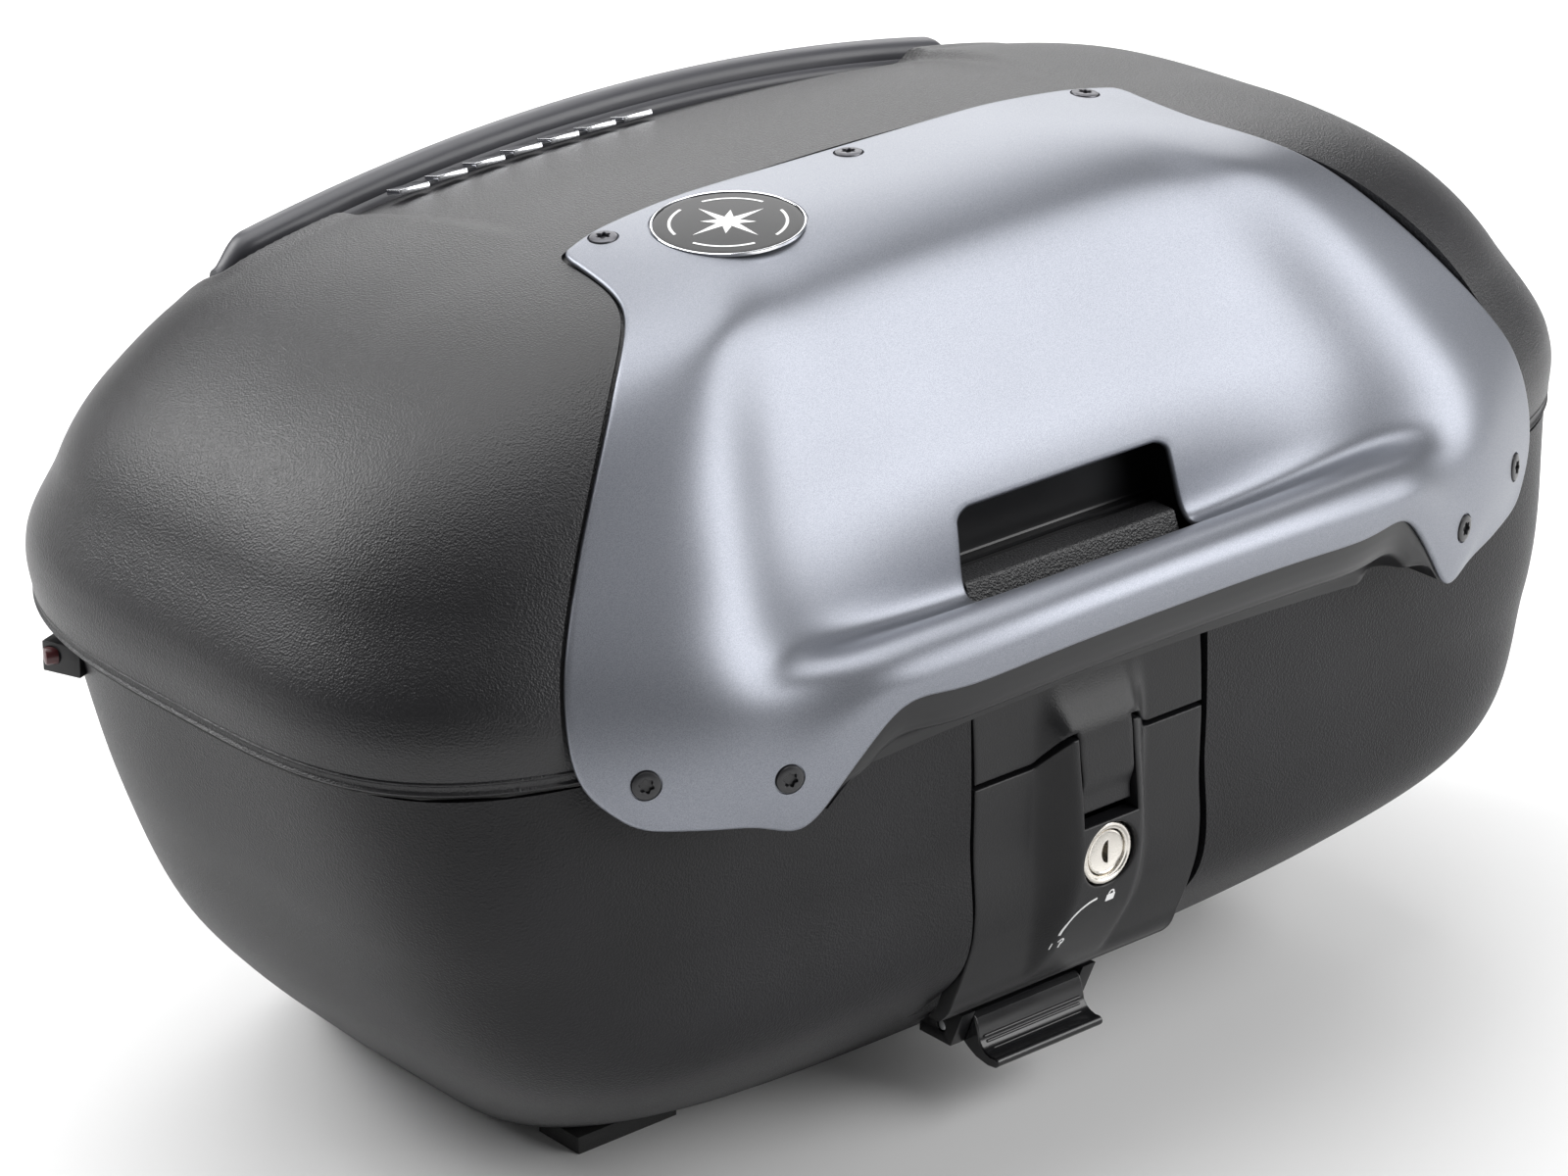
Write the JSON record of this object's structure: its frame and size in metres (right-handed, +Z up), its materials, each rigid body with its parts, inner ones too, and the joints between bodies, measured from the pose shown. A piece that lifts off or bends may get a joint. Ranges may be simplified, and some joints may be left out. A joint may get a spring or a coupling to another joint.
{
  "type": "motorcycle top case",
  "caption": "Hard motorcycle top case with a hinged domed lid, a silver carry-handle panel, a keyed swing latch, a rack release lever and feet.",
  "frame": {"origin": "middle of the bounding box at floor level, under the feet", "axes": "+Z up, -Y the front with the lock and the handle, +X to the right seen from the front"},
  "size_m": [0.5644, 0.3775, 0.3244],
  "materials": {
    "shell_black": "grained black moulded plastic",
    "panel_silver": "satin silver paint",
    "satin_black": "smooth satin black plastic",
    "gloss_black": "gloss black plastic",
    "rubber_black": "matt black rubber",
    "nickel": "satin nickel plate",
    "chrome_bright": "bright chrome",
    "black_steel": "black plated steel",
    "steel": "plain steel"
  },
  "bodies": {
    "base": {"base_shell": "shell_black", "latch_bracket": "steel", "latch_pin": "steel", "lever_ear_left": "satin_black", "lever_ear_right": "satin_black", "lever_pin": "steel", "hinge_base_left": "satin_black", "hinge_base_right": "satin_black", "hinge_pin_left": "steel", "hinge_pin_right": "steel", "corner_lug_left": "shell_black", "corner_lug_right": "shell_black", "foot_front_left": "rubber_black", "foot_front_right": "rubber_black", "foot_rear_left": "rubber_black", "foot_rear_right": "rubber_black", "mounting_plate": "satin_black", "floor_mat": "rubber_black"},
    "lid": {"lid_shell": "shell_black", "trim_panel": "panel_silver", "recess_tray": "satin_black", "grip_strip": "rubber_black", "arch_trim": "satin_black", "hasp_plate": "satin_black", "rim_seal": "rubber_black", "rear_rail": "satin_black", "badge_rim": "chrome_bright", "badge_disc": "gloss_black", "bright_bar_1": "chrome_bright", "bright_bar_2": "chrome_bright", "bright_bar_3": "chrome_bright", "bright_bar_4": "chrome_bright", "bright_bar_5": "chrome_bright", "bright_bar_6": "chrome_bright", "bright_bar_7": "chrome_bright", "panel_screw_1": "black_steel", "panel_screw_2": "black_steel", "panel_screw_3": "black_steel", "panel_screw_4": "black_steel", "panel_screw_5": "black_steel", "panel_screw_6": "black_steel", "panel_screw_7": "black_steel", "hinge_lid_left": "satin_black", "hinge_lid_right": "satin_black"},
    "latch": {"latch_flap": "satin_black", "lock_bezel": "nickel"},
    "lock": {"lock_plug": "nickel", "lock_cam": "steel"},
    "lever": {"release_lever": "gloss_black"}
  },
  "joints": [
    {"name": "lid_hinge", "type": "hinge", "parent": "base", "child": "lid", "pos_m": [0, 0.18275, 0.19], "axis": [-1, 0, 0], "range_deg": [0, 80]},
    {"name": "latch_swing", "type": "hinge", "parent": "base", "child": "latch", "pos_m": [0, -0.12725, 0.06], "axis": [1, 0, 0], "range_deg": [0, 35]},
    {"name": "lock_turn", "type": "hinge", "parent": "latch", "child": "lock", "pos_m": [0, -0.15325, 0.106], "axis": [0, -1, 0], "range_deg": [0, 90]},
    {"name": "lever_pull", "type": "hinge", "parent": "base", "child": "lever", "pos_m": [0, -0.10625, 0.031], "axis": [1, 0, 0], "range_deg": [0, 25], "stiffness_Nm_per_rad": 0.3, "springref_deg": -6.88}
  ]
}
